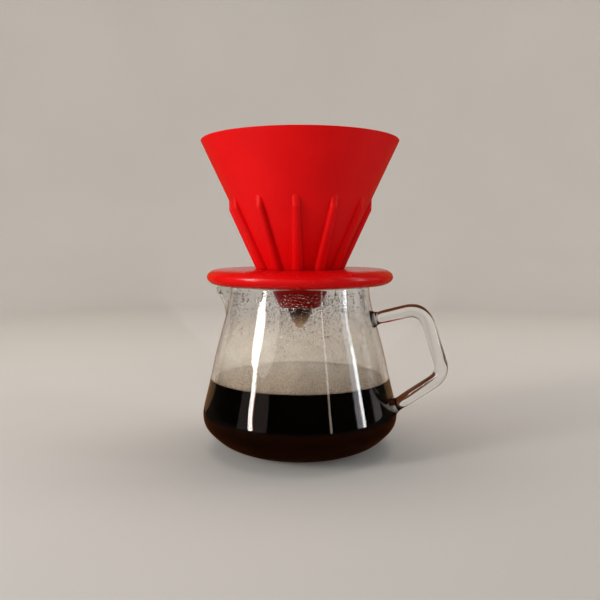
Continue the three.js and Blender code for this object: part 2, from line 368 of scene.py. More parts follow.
def mist():
    """Breath-thin fog of fine droplets: patchy and grainy, thinner upwards and browner low down."""
    n = Nodes("condensation_mist")
    body = n.principled(Roughness=0.75)
    share = n.span(n.height(), COFFEE_Z * MM, GLASS_RIM_Z * MM)
    cream = n.ramp(n.noise(46.0, 2.0), [(0.3, (0.97, 0.84, 0.70)), (0.7, (0.98, 0.91, 0.82))])
    low_down = n.span(share, 0.02, 0.34, 1.0, 0.0)
    n.join(n.mix_colour(low_down, cream, (0.60, 0.44, 0.31)), body.inputs["Base Color"])
    through = n.add("ShaderNodeBsdfTranslucent")
    through.inputs["Color"].default_value = (0.98, 0.88, 0.77, 1.0)
    fog = n.mix_shader(0.38, body.outputs[0], through.outputs[0])
    clear = n.add("ShaderNodeBsdfTransparent")
    patch = n.span(n.noise(60.0, 4.0, 0.6), 0.3, 0.7, 0.60, 1.0)
    grain = n.span(n.noise(1500.0, 2.0), 0.35, 0.65, 0.72, 1.0)
    thickness = [(0.0, 0.48), (0.28, 0.54), (0.52, 0.40), (0.76, 0.0)]
    level = n.ramp(share, [(place, (amount,) * 3) for place, amount in thickness])
    amount = n.math("MULTIPLY", n.math("MULTIPLY", patch, grain), level)
    return n.finish(n.mix_shader(amount, clear.outputs[0], fog))


def black_coffee():
    """Amber where it is a few millimetres deep and black where it is deeper."""
    n = Nodes("black_coffee")
    shader = n.clear_shader(1.33, 0.0, (0.50, 0.20, 0.05), 30.0, 0.0004, 0.15)
    depth = n.add("ShaderNodeVolumeAbsorption")
    depth.inputs["Color"].default_value = (0.80, 0.50, 0.10, 1.0)
    depth.inputs["Density"].default_value = 700.0
    return n.finish(shader, depth.outputs[0])


def amber_coffee():
    n = Nodes("amber_coffee_drop")
    shader = n.clear_shader(1.33, 0.02, (0.75, 0.36, 0.08), 600.0, 0.00004, 0.3)
    return n.finish(n.lets_light_through(shader, (0.7, 0.4, 0.15)))


def filter_paper():
    """White paper above, coffee-soaked brown below, darkest and amber at the tip."""
    n = Nodes("soaked_filter_paper")
    fibre = n.noise(420.0, 5.0, 0.65)
    level, aside = n.height(), n.axis("X")
    lean = n.math("MULTIPLY", aside, -0.6)
    near_tip = n.span(level, PAPER_LOW[2] * MM, OUTLET_Z * MM + 0.004, 1.0, 0.0)
    height = n.math("ADD", level, n.span(n.noise(55.0, 4.0, 0.6), 0.0, 1.0, -0.009, 0.009))
    height = n.math("ADD", height, n.math("MULTIPLY", lean, near_tip))
    low, high = PAPER_LOW[2] * MM, PAPER_HIGH[2] * MM
    stain = n.ramp(n.span(height, low, high), [
        (0.0, (0.42, 0.20, 0.05)), (0.035, (0.16, 0.06, 0.014)), (0.07, (0.035, 0.014, 0.007)),
        (0.18, (0.030, 0.014, 0.008)),
        (0.60, (0.20, 0.10, 0.045)), (0.72, (0.52, 0.36, 0.21)), (1.0, (0.78, 0.69, 0.55)),
    ])
    shade = n.ramp(fibre, [(0.3, (0.80, 0.80, 0.80)), (0.7, (1.0, 1.0, 1.0))])
    shader = n.principled(IOR=1.4)
    shader.inputs["Subsurface Weight"].default_value = 0.15
    shader.inputs["Subsurface Radius"].default_value = (0.004, 0.002, 0.001)
    shader.inputs["Subsurface Scale"].default_value = 0.3
    n.join(n.mix_colour(1.0, stain, shade, "MULTIPLY"), shader.inputs["Base Color"])
    n.join(n.span(height, low, high, 0.34, 0.85), shader.inputs["Roughness"])
    first = n.bump(n.noise(95.0, 3.0), 0.0004, 0.45)
    n.join(n.bump(fibre, 0.00012, 0.5, first), shader.inputs["Normal"])
    return n.finish(shader.outputs[0])


def wet_grounds():
    n = Nodes("wet_coffee_grounds")
    speck = n.noise(1400.0, 3.0, 0.7)
    colour = n.ramp(speck, [
        (0.30, (0.012, 0.006, 0.003)), (0.52, (0.045, 0.022, 0.011)), (0.72, (0.13, 0.07, 0.034)),
    ])
    shader = n.principled(IOR=1.45)
    n.join(colour, shader.inputs["Base Color"])
    n.join(n.span(n.noise(240.0, 3.0), 0.3, 0.7, 0.28, 0.7), shader.inputs["Roughness"])
    first = n.bump(n.noise(1100.0, 4.0, 0.65), 0.0005, 0.8)
    n.join(n.bump(n.noise(3000.0, 2.0), 0.0001, 0.5, first), shader.inputs["Normal"])
    return n.finish(shader.outputs[0])


def pale_floor():
    n = Nodes("pale_studio_floor")
    shader = n.principled(Roughness=0.62)
    shades = [(0.3, (0.49, 0.478, 0.462)), (0.7, (0.51, 0.498, 0.482))]
    n.join(n.ramp(n.noise(3.0, 2.0), shades), shader.inputs["Base Color"])
    n.join(n.bump(n.noise(700.0, 3.0), 0.0001, 0.15), shader.inputs["Normal"])
    return n.finish(shader.outputs[0])


def card_cloth(name, dark, light, only_reflected=False):
    """Dull cloth; where only_reflected is set, light that merely passes through glass misses it."""
    n = Nodes(name)
    shader = n.principled(Roughness=0.95)
    shader.inputs["Specular IOR Level"].default_value = 0.1
    n.join(n.ramp(n.noise(30.0, 3.0), [(0.3, dark), (0.7, light)]), shader.inputs["Base Color"])
    if not only_reflected:
        return n.finish(shader.outputs[0])
    clear = n.add("ShaderNodeBsdfTransparent")
    path = n.add("ShaderNodeLightPath")
    reflected = n.math("MINIMUM", path.outputs["Glossy Depth"], 1.0)
    return n.finish(n.mix_shader(reflected, clear.outputs[0], shader.outputs[0]))


RED = red_plastic("satin_red_plastic", 0.38, 0.46, 0.11)
RED_DISC = red_plastic("smooth_red_plastic", 0.22, 0.28, 0.31)
GLASS = clear_glass()
WATER = water()
MIST = mist()
COFFEE = black_coffee()
AMBER = amber_coffee()
PAPER = filter_paper()
GROUNDS = wet_grounds()
FLOOR = pale_floor()
CURTAIN = card_cloth("dark_curtain_cloth", (0.012, 0.010, 0.009), (0.030, 0.025, 0.020), True)
BROWN = card_cloth("brown_card_cloth", (0.075, 0.022, 0.007), (0.115, 0.036, 0.011))
TAN = card_cloth("tan_card_cloth", (0.18, 0.098, 0.038), (0.23, 0.128, 0.054))


# ---- red dripper ------------------------------------------------------------------------------
def cone_r(z):
    return RIM_R + CONE_SLOPE * (z - RIM_Z)


def bore_r(z):
    return cone_r(z) - CONE_WALL


SECTOR = 2 * math.pi / RIB_COUNT
RIB_SIDES = 14        # spans across a rib
WEB_SIDES = 8         # spans from a rib to the middle of the gap beside it


def rib_width(z):
    up = clamp01((z - PLATE_Z[1]) / (RIB_TOP_Z - PLATE_Z[1]))
    return mix(6.3, 4.4, up)


def rib_proud(z):
    """How far the rib stands out at a height: a slanted facet at the top, then steady."""
    up = clamp01((z - PLATE_Z[1]) / (RIB_TOP_Z - PLATE_Z[1]))
    ramp = clamp01((RIB_TOP_Z - z) / RIB_RAMP)
    return mix(3.5, 2.9, up) * ramp


def sector_lines(half_angle):
    """Angles of one sector's mesh lines, gathered over a rib of that half angle, and each line's
    place across the rib, from -1 to 1, or beyond it in the gap."""
    across = np.sin(np.linspace(-1, 1, RIB_SIDES + 1) * math.pi / 2)
    gap = np.linspace(0, 1, WEB_SIDES + 1)[1:] ** 1.3
    left = -1 - gap[::-1]
    place = np.concatenate([left, across, 1 + gap[:-1]])
    reach = SECTOR / 2 - half_angle
    beyond = np.clip(np.abs(place) - 1, 0, None)
    angle = np.sign(place) * (np.clip(np.abs(place), 0, 1) * half_angle + beyond * reach)
    return angle, place


def outer_ring(z, radius, warp, ribbed):
    """A ring of the cone's outside; warp 0 spaces its lines evenly, 1 gathers them at the ribs."""
    half_width = rib_width(z) / 2
    nose = clamp01((RIB_TOP_Z - z) / RIB_NOSE)
    shown_half = half_width * max(0.30, math.sqrt(max(0.0, 1 - (1 - nose) ** 2)))
    angle, place = sector_lines(shown_half / radius)
    even = np.linspace(-SECTOR / 2, SECTOR / 2, len(angle) + 1)[:-1]
    angle = mix(even, angle, warp)
    proud = rib_proud(z) if ribbed else 0.0
    bar = np.clip(1 - np.abs(place) ** 2.6, 0, None) ** 0.5
    theta = np.concatenate([angle + SECTOR * (k + 0.5) for k in range(RIB_COUNT)])
    out = np.tile(radius + proud * bar, RIB_COUNT)
    return theta, out


def at_lugs(theta, turned, arc):
    """1 within each lug's arc, in degrees, and 0 between the lugs."""
    pitch = 360 / LUG_COUNT
    turn = (np.degrees(theta) - turned + pitch / 2) % pitch - pitch / 2
    return smooth(arc / 2 + 0.5 - np.abs(turn))


def lug_out(theta, radius):
    """Radius with the locking lugs added."""
    return mix(radius, cone_r(PLATE_Z[0]) + FIT_GAP + LUG_PROUD, at_lugs(theta, 0, LUG_ARC))


def inner_ring(z, radius, blend_from=None, share=1.0):
    """A ring of the bore with its low ribs, at the middle of each gap between outer ribs. Its mesh
    lines are gathered over the low ribs, at the sector's ends."""
    half = min(0.24, (INNER_RIB_WIDTH / 2 + 0.35) / radius)
    lines = RIB_SIDES + 2 * WEB_SIDES
    v = np.arange(lines) / lines
    edge = 0.22       # share of the lines on each side that lie over a rib
    t = np.where(
        v < edge, v / edge * half,
        np.where(v > 1 - edge, SECTOR - (1 - v) / edge * half,
                 half + (v - edge) / (1 - 2 * edge) * (SECTOR - 2 * half)))
    away = np.minimum(t, SECTOR - t) * radius
    ramp = float(clamp01((INNER_RIB_TOP_Z - z) / 5.0)) * float(clamp01((z - OUTLET_Z - 0.6) / 2.0))
    bar = np.clip(1 - (away / (INNER_RIB_WIDTH / 2 + 0.3)) ** 2.4, 0, None) ** 0.6
    theta = np.concatenate([t + SECTOR * k for k in range(RIB_COUNT)])
    out = np.tile(radius - INNER_RIB_PROUD * ramp * bar, RIB_COUNT)
    if blend_from is not None:
        theta = mix(blend_from, theta, share)
    return theta, out


def ribbed_cone():
    rings = []

    def add(theta, radius, z):
        rings.append(ring(radius, z, theta))

    def outside(heights, warp, ribbed):
        for z in heights:
            theta, out = outer_ring(z, cone_r(z), warp, ribbed)
            add(theta, out, z)
        return theta

    # Outlet lip, then up the outside under the plate, with the lugs.
    for a in np.radians(np.linspace(-90, 0, 4)):
        z = OUTLET_Z + LIP_ROUND + LIP_ROUND * math.sin(a)
        theta, out = outer_ring(z, cone_r(z) - LIP_ROUND + LIP_ROUND * math.cos(a), 0, False)
        add(theta, out, z)
    outside((87, 89.5, 92, LUG_Z[0] - 0.1), 0, False)
    for z in (LUG_Z[0], LUG_Z[0] + 0.4, LUG_Z[1] - 0.4, LUG_Z[1]):
        theta, out = outer_ring(z, cone_r(z), 0, False)
        lugged = lug_out(theta, out)
        edge = 0.0 if LUG_Z[0] + 0.2 < z < LUG_Z[1] - 0.2 else 0.3
        add(theta, lugged - edge * (lugged > out + 0.5), z)
    outside([LUG_Z[1] + 0.1], 0, False)
    # Inside the plate the mesh lines start to gather where the ribs will be.
    for z in (101, 104, 106):
        outside([z], (z - 99) / 8, False)
    # Ribs: a square end on the plate, then up to the noses.
    foot = PLATE_Z[1] + 0.06
    outside([foot], 1, False)
    facet = RIB_TOP_Z - RIB_RAMP
    square = [foot + 0.05, foot + 0.3]
    body = list(np.linspace(foot + 2, facet - 0.4, 17)) + [facet - 0.1, facet + 0.2]
    nose = list(np.linspace(facet + 0.8, RIB_TOP_Z - RIB_NOSE, 6))
    tip = [RIB_TOP_Z - RIB_NOSE * (1 - s) ** 2 for s in (0.2, 0.4, 0.6, 0.8, 0.95)]
    outside(square + body + nose + tip, 1, True)
    outer_theta = outside(np.linspace(RIB_TOP_Z + 0.3, RIM_Z - RIM_ROUND, 12), 1, False)
    # Rim, then down the bore with its low ribs.
    turn_z = RIM_Z - RIM_ROUND
    for a in np.radians((30, 60, 90)):
        r = cone_r(turn_z) + 0.2 - RIM_ROUND + RIM_ROUND * math.cos(a)
        add(outer_theta, r, turn_z + RIM_ROUND * math.sin(a))
    for k, a in enumerate(np.radians((90, 120, 150, 180))):
        z = turn_z + RIM_ROUND * math.sin(a)
        r = bore_r(turn_z) + RIM_ROUND + RIM_ROUND * math.cos(a)
        theta, out = inner_ring(z, r, outer_theta, (k + 1) / 4)
        add(theta, out, z)
    down = list(np.linspace(RIM_Z - 3, INNER_RIB_TOP_Z + 0.5, 6))
    down += list(np.linspace(INNER_RIB_TOP_Z, INNER_RIB_TOP_Z - 6, 8))
    down += list(np.linspace(INNER_RIB_TOP_Z - 10, OUTLET_Z + 3, 22)) + [OUTLET_Z + 1.5, OUTLET_Z + 0.5]
    for z in down:
        theta, out = inner_ring(z, bore_r(z))
        add(theta, out, z)
    return skinned("ribbed_cone", rings, RED, loop=True, crease=42)


def base_disc():
    half = (PLATE_Z[1] - PLATE_Z[0]) / 2
    theta = even_angles(360)
    slot_r = cone_r(PLATE_Z[0]) + FIT_GAP + LUG_PROUD + FIT_GAP

    def hole(z):
        plain = cone_r(z) + FIT_GAP
        return np.maximum(plain, mix(plain, slot_r, at_lugs(theta, UNLOCK_TURN, LUG_ARC + 3)))

    # The flat underside, the rounded edge, the flat top, then down the slotted hole.
    rings = [ring(hole(PLATE_Z[0]) + 0.3, PLATE_Z[0], theta)]
    flat_r = PLATE_R - PLATE_EDGE
    for r in (28, 36, 43):
        rings.append(ring(r, PLATE_Z[0], theta))
    for a in np.linspace(-90, 90, 33):
        turn = math.radians(a)
        z = PLATE_Z[0] + half + half * math.sin(turn)
        rings.append(ring(flat_r + PLATE_EDGE * math.cos(turn), z, theta))
    for r in (43, 36, 30):
        rings.append(ring(r, PLATE_Z[1], theta))
    rings.append(ring(hole(PLATE_Z[1]) + 0.3, PLATE_Z[1], theta))
    for z in (PLATE_Z[1] - 0.3, 106, 104, 102, 100, PLATE_Z[0] + 0.3):
        rings.append(ring(hole(z), z, theta))
    return skinned("base_disc", rings, RED_DISC, loop=True, crease=50)


# ---- glass server -----------------------------------------------------------------------------
def outline_at(t):
    """A Catmull-Rom curve through the outline's points."""
    place = t * (len(GLASS_POINTS) - 1)
    k = min(int(place), len(GLASS_POINTS) - 2)
    w = place - k
    p0, p1 = GLASS_POINTS[max(k - 1, 0)], GLASS_POINTS[k]
    p2, p3 = GLASS_POINTS[k + 1], GLASS_POINTS[min(k + 2, len(GLASS_POINTS) - 1)]
    result = []
    for a, b, c, d in zip(p0, p1, p2, p3):
        u, v = (c - a) / 2, (d - b) / 2
        result.append((2 * b - 2 * c + u + v) * w ** 3 + (3 * c - 3 * b - 2 * u - v) * w ** 2 + u * w + b)
    return np.array(result)


def glass_offset(distance, count=110):
    """The outline moved along its normal, outwards where the distance is positive."""
    points = []
    for i in range(count + 1):
        t = i / count
        step = outline_at(min(1, t + 1e-4)) - outline_at(max(0, t - 1e-4))
        step /= np.linalg.norm(step)
        points.append(outline_at(t) + np.array([step[1], -step[0]]) * distance)
    return np.array(points)


OUTER_WALL = glass_offset(0)
INNER_WALL = glass_offset(-GLASS_WALL)


def wall_r(z, wall):
    return np.interp(z, wall[:, 1], wall[:, 0])


def inner_r(z):
    return float(wall_r(z, INNER_WALL))


def pull_spout(points):
    """Draws the rim towards -X to make the pouring lip, whose edge hangs a little and curls back."""
    x, y, z = points[:, 0], points[:, 1], points[:, 2]
    away = np.abs(np.arctan2(y, -x)) / math.radians(SPOUT_HALF_ARC)
    up = clamp01((z - SPOUT_FROM_Z) / (GLASS_RIM_Z - SPOUT_FROM_Z))
    middle = np.where(away < 1, np.cos(np.minimum(away, 1) * math.pi / 2) ** 2, 0)
    pull = 1.14 * up ** 1.1 - SPOUT_CURL * up ** 14
    return np.stack([x - SPOUT_REACH * middle * pull, y, z - SPOUT_DROP * middle * up], axis=1)


def server_glass():
    theta = even_angles(256)
    profile = [(r, 0.0) for r in (12, 24)] + [tuple(p) for p in OUTER_WALL[:-1]]
    top_r, top_z = OUTER_WALL[-1]
    lip = GLASS_WALL / 2
    for a in np.linspace(0, 180, 13):
        turn = math.radians(a)
        profile.append((top_r - lip + lip * math.cos(turn), top_z + lip * math.sin(turn)))
    inside = [tuple(p) for p in INNER_WALL[::-1][1:] if p[1] > GLASS_FLOOR_Z + 0.5]
    profile += inside
    last_r = inside[-1][0]
    profile += [(last_r - 0.7, GLASS_FLOOR_Z + 0.12), (last_r - 1.8, GLASS_FLOOR_Z)]
    profile += [(r, GLASS_FLOOR_Z) for r in (30, 15)]
    rings = [pull_spout(ring(r, z, theta)) for r, z in profile]
    return skinned("server_glass", rings, GLASS)


def rod_path():
    """Points along the rod's centre line: straight runs and rounded bends."""
    corners = [np.array(c) for c in ROD_CORNERS]
    points = []
    start = corners[0]
    for k in (1, 2):
        back = corners[k - 1] - corners[k]
        ahead = corners[k + 1] - corners[k]
        back, ahead = back / np.linalg.norm(back), ahead / np.linalg.norm(ahead)
        setback = ROD_BEND_R / math.tan(math.acos(float(back @ ahead)) / 2)
        enter, leave = corners[k] + back * setback, corners[k] + ahead * setback
        points += [mix(start, enter, t) for t in np.linspace(0, 1, 25)[:-1]]
        for t in np.linspace(0, 1, 19)[:-1]:
            points.append((1 - t) ** 2 * enter + 2 * t * (1 - t) * corners[k] + t * t * leave)
        start = leave
    points += [mix(start, corners[3], t) for t in np.linspace(0, 1, 25)]
    return np.array(points)


def handle_glass():
    """The bent rod, its ends flared and flattened on to the server's wall."""
    path = rod_path()
    radial, height = path[:, 0], path[:, 1]
    clear = radial - wall_r(height, OUTER_WALL)
    keep = clear > -0.4
    path = path[keep]
    steps = np.linalg.norm(np.diff(path, axis=0), axis=1)
    run = np.concatenate([[0], np.cumsum(steps)])
    # Resample closely near both ends, where the glass flares.
    total = run[-1]
    start, middle = np.linspace(0, ROD_END, 19), np.linspace(ROD_END, total - ROD_END, 60)[1:-1]
    ease = np.concatenate([start, middle, np.linspace(total - ROD_END, total, 19)])
    path = np.stack([np.interp(ease, run, path[:, 0]), np.interp(ease, run, path[:, 1])], axis=1)
    along = np.gradient(path, axis=0)
    along /= np.linalg.norm(along, axis=1)[:, None]
    phi = even_angles(40)
    rings = []
    for (cx, cz), (tx, tz), s in zip(path, along, ease):
        end = min(s, total - s)
        radius = ROD_R + ROD_FLARE * math.exp(-(end / FLARE_REACH) ** 2)
        radius -= ROD_NECK * math.exp(-((end - NECK_PLACE) / NECK_REACH) ** 2)
        x = cx - tz * radius * np.cos(phi)
        z = cz + tx * radius * np.cos(phi)
        y = radius * np.sin(phi)
        # Near an end every point slides along the rod until the last ring lies on the wall.
        hold = float(smooth(1 - end / ROD_HOLD))
        if hold > 0:
            side = -1.0 if s < total / 2 else 1.0
            slide = np.zeros_like(x)
            for _ in range(12):
                px, pz = x + side * tx * slide, z + side * tz * slide
                gap = np.hypot(px, y) - (wall_r(pz, OUTER_WALL) - 0.35)
                slide += 0.8 * gap
            x = x + side * tx * (slide - end) * hold
            z = z + side * tz * (slide - end) * hold
        rings.append(np.stack([x, y, z], axis=1))
    return skinned("handle_glass", rings, GLASS)


# ---- water on the inner glass -----------------------------------------------------------------
BEAD_COUNT = 3300
RUN_COUNT = 22        # beads that have run together and down


def drop_mesh(sides, rows):
    """A unit dome on the plane x = 0, bulging to +X, closed underneath."""
    verts, faces = [(1.0, 0.0, 0.0)], []
    for k in range(1, rows + 1):
        a = k / rows * math.pi / 2
        for i in range(sides):
            b = i / sides * 2 * math.pi
            verts.append((math.cos(a), math.sin(a) * math.cos(b), math.sin(a) * math.sin(b)))
    for i in range(sides):
        j = (i + 1) % sides
        faces.append((0, 1 + i, 1 + j))
        for k in range(rows - 1):
            a, b = 1 + k * sides, 1 + (k + 1) * sides
            faces.append((a + i, b + i, b + j, a + j))
    verts.append((-0.3, 0.0, 0.0))
    base = 1 + (rows - 1) * sides
    faces += [(base + (i + 1) % sides, base + i, len(verts) - 1) for i in range(sides)]
    return np.array(verts), faces


def place_drop(unit, angle, z, wide, tall, proud):
    """The unit dome stretched and set on the inner wall, bulging into the server."""
    r = inner_r(z) + 0.04
    lean = math.atan2(inner_r(z + 1) - inner_r(z - 1), 2.0)
    local = unit * np.array([proud, wide, tall])
    inward = -local[:, 0]
    up = local[:, 2]
    radial = r + inward * math.cos(lean) + up * math.sin(lean)
    height = z + up * math.cos(lean) - inward * math.sin(lean)
    side = local[:, 1]
    x = radial * math.cos(angle) - side * math.sin(angle)
    y = radial * math.sin(angle) + side * math.cos(angle)
    return pull_spout(np.stack([x, y, height], axis=1))


def condensation_drops():
    """Fine beads all round the inner wall, in upright drifts and thickest near the outlet, with a few
    that have run together and down."""
    rng = random.Random(7)
    unit, unit_faces = drop_mesh(8, 3)
    verts, faces = [], []
    buckets = {}

    def bucket(angle, z):
        return round(angle / 0.05), round(z / 2.5)

    def add(angle, z, wide, tall, proud):
        add_copy(verts, faces, place_drop(unit, angle, z, wide, tall, proud), unit_faces)
        buckets.setdefault(bucket(angle, z), []).append((angle, z, max(wide, tall)))

    def free(angle, z, size):
        r = inner_r(z)
        i, j = bucket(angle, z)
        around = [(i + di, j + dj) for di in (-1, 0, 1) for dj in (-1, 0, 1)]
        near = [drop for place in around for drop in buckets.get(place, [])]
        return all(abs(z - b) > size + s or abs(angle - a) * r > size + s for a, b, s in near)

    low, high = COFFEE_Z + 8, GLASS_RIM_Z - 3
    count = 0
    while count < BEAD_COUNT:
        angle = rng.uniform(-math.pi, math.pi)
        z = rng.uniform(low, high)
        share = (z - low) / (high - low)
        x, y = math.cos(angle), math.sin(angle)
        bands = uneven(x * 8, y * 8, z * 0.03)
        drift = uneven(x * 2.4, y * 2.4, z * 0.055)
        # The photo shows most beads beside the outlet, on the middle of the wall's front and back.
        facing = abs(math.sin(angle - math.radians(CAMERA_AZIMUTH)))
        near_outlet = facing ** 8 * (0.08 + 0.50 * share ** 2)
        thick = 0.012 + 1.1 * max(0.0, bands - 0.06) * (0.4 + share)
        thick += 0.4 * max(0.0, drift - 0.1) + near_outlet
        if rng.random() > thick:
            continue
        size = min(0.9, 0.20 + rng.expovariate(1 / 0.14)) * (0.85 + 0.4 * share)
        if free(angle, z, size * 0.9):
            add(angle, z, size, size * rng.uniform(0.85, 1.3), size * 0.7)
            count += 1
    for _ in range(RUN_COUNT):
        angle = rng.uniform(-math.pi, math.pi)
        z = rng.uniform(low + 8, high - 2)
        size = rng.uniform(0.5, 0.8)
        length = rng.uniform(2.0, 4.5)
        add(angle, z, size * 0.7, size * length, size * 0.45)
        add(angle + rng.uniform(-0.004, 0.004), z - size * length, size, size * 1.2, size * 0.7)
    return make_piece("condensation_drops", verts, faces, WATER)


def condensation_mist():
    """The thin fog on the inner wall, as a skin of its own just inside the glass."""
    theta = even_angles(160)
    low, high = COFFEE_Z + MENISCUS + 0.3, GLASS_RIM_Z - 2.5
    rings = []
    for inset, heights in ((0.03, np.linspace(low, high, 34)), (0.07, np.linspace(high, low, 34))):
        for z in heights:
            rings.append(pull_spout(ring(inner_r(z) - inset, z, theta)))
    return skinned("condensation_mist", rings, MIST, loop=True)


# ---- coffee in the server ---------------------------------------------------------------------
def coffee_body():
    """The liquid, its skin sunk into the glass all round and its edge drawn up the wall."""
    theta = even_angles(192)
    floor_z = GLASS_FLOOR_Z - SINK
    touch_z = COFFEE_Z + MENISCUS
    wall = [p for p in INNER_WALL if GLASS_FLOOR_Z + 1.2 < p[1] < touch_z]
    profile = [(r, floor_z) for r in (12, 26, wall[0][0] - 3.0)]
    profile += [(wall[0][0] - 1.2 + SINK, floor_z + 0.35)]
    profile += [(p[0] + SINK, p[1]) for p in wall]
    edge_r = inner_r(touch_z)
    profile.append((edge_r + SINK, touch_z))
    for s in (0.0, 0.25, 0.6, 1.1, 1.8, 2.7, 4.0):
        profile.append((edge_r - s, COFFEE_Z + MENISCUS * math.exp(-s / 0.8)))
    profile += [(r, COFFEE_Z) for r in (44, 34, 22, 10)]
    rings = [ring(r, z, theta) for r, z in profile]
    return skinned("coffee_in_server", rings, COFFEE)


BUBBLE_CLUSTERS = 9


def edge_bubbles():
    """A few small bubbles gathered where the coffee meets the glass."""
    rng = random.Random(21)
    unit, unit_faces = drop_mesh(10, 4)
    unit = unit[:, [2, 1, 0]]
    verts, faces = [], []
    for _ in range(BUBBLE_CLUSTERS):
        middle = rng.uniform(0, 2 * math.pi)
        for _ in range(rng.randint(3, 9)):
            size = rng.uniform(0.35, 1.1)
            angle = middle + rng.gauss(0, 0.045)
            r = inner_r(COFFEE_Z) - size - abs(rng.gauss(0.3, 0.9))
            centre = np.array([r * math.cos(angle), r * math.sin(angle), COFFEE_Z + 0.02])
            add_copy(verts, faces, unit * size * np.array([1, 1, 0.8]) + centre, unit_faces)
    return make_piece("edge_bubbles", verts, faces, AMBER)


# ---- paper, grounds and the hanging drop ------------------------------------------------------
BED_TOP_Z = box_mm("coffee_grounds")[1][2]
BED_RIM_Z = BED_TOP_Z - 0.8
BED_DISH = 6.0        # how far the middle of the bed lies below its top
PAPER_THICK = 0.3
SLANT = 1.1           # level distance through something that is 1 thick across the cone's slope
SEAM_ANGLE = math.radians(105)


def paper_r(z):
    return bore_r(z) - (INNER_RIB_PROUD + FIT_GAP) * SLANT


def paper_cone():
    """The soaked paper: a thin cone that hugs the low ribs, with a wavy top edge and a blunt tip."""
    theta = even_angles(240)
    sag = 0.5 - 0.5 * np.cos(theta * RIB_COUNT)
    top = PAPER_HIGH[2] - 1.2 + 0.5 * np.sin(theta * 3 + 0.6) + 0.35 * np.sin(theta * 7 + 2.0)
    tip = PAPER_LOW[2]

    def creases(z):
        return np.array([uneven(math.cos(a) * 3, math.sin(a) * 3, z * 0.06) for a in theta])

    outer, inner = [], []
    for s in np.linspace(0, 1, 60) ** 0.9:
        z = tip + 0.6 + s * (top - tip - 0.6)
        mean_z = float(np.mean(z))
        held = float(smooth((mean_z - OUTLET_Z) / 8) * smooth((INNER_RIB_TOP_Z + 6 - mean_z) / 8))
        free_r = 0.25 * creases(mean_z) * float(smooth((mean_z - tip) / 10))
        swell = 1.3 * math.exp(-((mean_z - OUTLET_Z + 6) / 4.5) ** 2)
        r = paper_r(z) + held * 0.55 * sag + free_r + swell
        outer.append(ring(r, z, theta))
        inner.append(ring(np.maximum(r - PAPER_THICK * SLANT, 0.3), z + 0.25 * (s < 0.01), theta))
    rings = [ring(1.3, tip + 0.12, theta)] + outer + inner[::-1]
    return skinned("paper_cone", rings, PAPER, crease=60)


def paper_seam():
    """The folded and crimped side seam, flat against the outside of the paper."""
    rings = []
    rows = 260
    for k in range(rows + 1):
        z = mix(PAPER_LOW[2] + 8, PAPER_HIGH[2] - 2.2, k / rows)
        r = paper_r(z) + 0.08
        half = 3.1 * min(1.0, 0.35 + (z - PAPER_LOW[2]) / 30)
        crimp = 0.14 * math.sin(2 * math.pi * z / 1.9)
        section = []
        across = [-1, -0.6, -0.2, 0.2, 0.6, 1]
        for side in across:
            section.append((r + 0.42 + crimp * (1 if abs(side) < 0.9 else 0.2), side * half))
        for side in across[::-1]:
            section.append((r, side * half))
        points = []
        for radius, side in section:
            angle = SEAM_ANGLE + side / max(r, 6)
            points.append((radius * math.cos(angle), radius * math.sin(angle), z))
        rings.append(points)
    return skinned("paper_seam", rings, PAPER)


def paper_bore(z):
    return paper_r(z) - PAPER_THICK * SLANT - 0.12


BED_RIM_R = paper_bore(BED_RIM_Z)


def bed_height(x, y):
    """Height of the wet bed: dished, uneven and granular."""
    r = math.hypot(x, y) / BED_RIM_R
    slow = uneven(x * 0.09, y * 0.09, 3.0) * 0.9
    lumps = uneven(x * 0.7, y * 0.7, 8.0) * 0.35
    specks = uneven(x * 1.9, y * 1.9, 1.0) * 0.22
    dish = mix(BED_TOP_Z - BED_DISH, BED_TOP_Z - 0.6, r ** 2.2)
    return dish + slow * (1 - r ** 4) + (lumps + specks)


def grounds_bed():
    theta = even_angles(220)
    low = PAPER_LOW[2] + 3
    rings = []
    for z in np.linspace(low, BED_RIM_Z, 24):
        rings.append(ring(paper_bore(z), z, theta))
    for share in np.linspace(0.985, 0.03, 56):
        radius = BED_RIM_R * share
        xs, ys = radius * np.cos(theta), radius * np.sin(theta)
        rings.append(np.array([(x, y, bed_height(x, y)) for x, y in zip(xs, ys)]))
    return skinned("grounds_bed", rings, GROUNDS)


BED_GRAINS, PAPER_GRAINS = 1500, 1300


def grain_shape():
    """A rounded grain: the corners and faces of an icosahedron."""
    t = (1 + math.sqrt(5)) / 2
    verts = [(-1, t, 0), (1, t, 0), (-1, -t, 0), (1, -t, 0), (0, -1, t), (0, 1, t),
             (0, -1, -t), (0, 1, -t), (t, 0, -1), (t, 0, 1), (-t, 0, -1), (-t, 0, 1)]
    faces = [(0, 11, 5), (0, 5, 1), (0, 1, 7), (0, 7, 10), (0, 10, 11), (1, 5, 9), (5, 11, 4),
             (11, 10, 2), (10, 7, 6), (7, 1, 8), (3, 9, 4), (3, 4, 2), (3, 2, 6), (3, 6, 8),
             (3, 8, 9), (4, 9, 5), (2, 4, 11), (6, 2, 10), (8, 6, 7), (9, 8, 1)]
    return np.array(verts) / math.hypot(1, t), faces


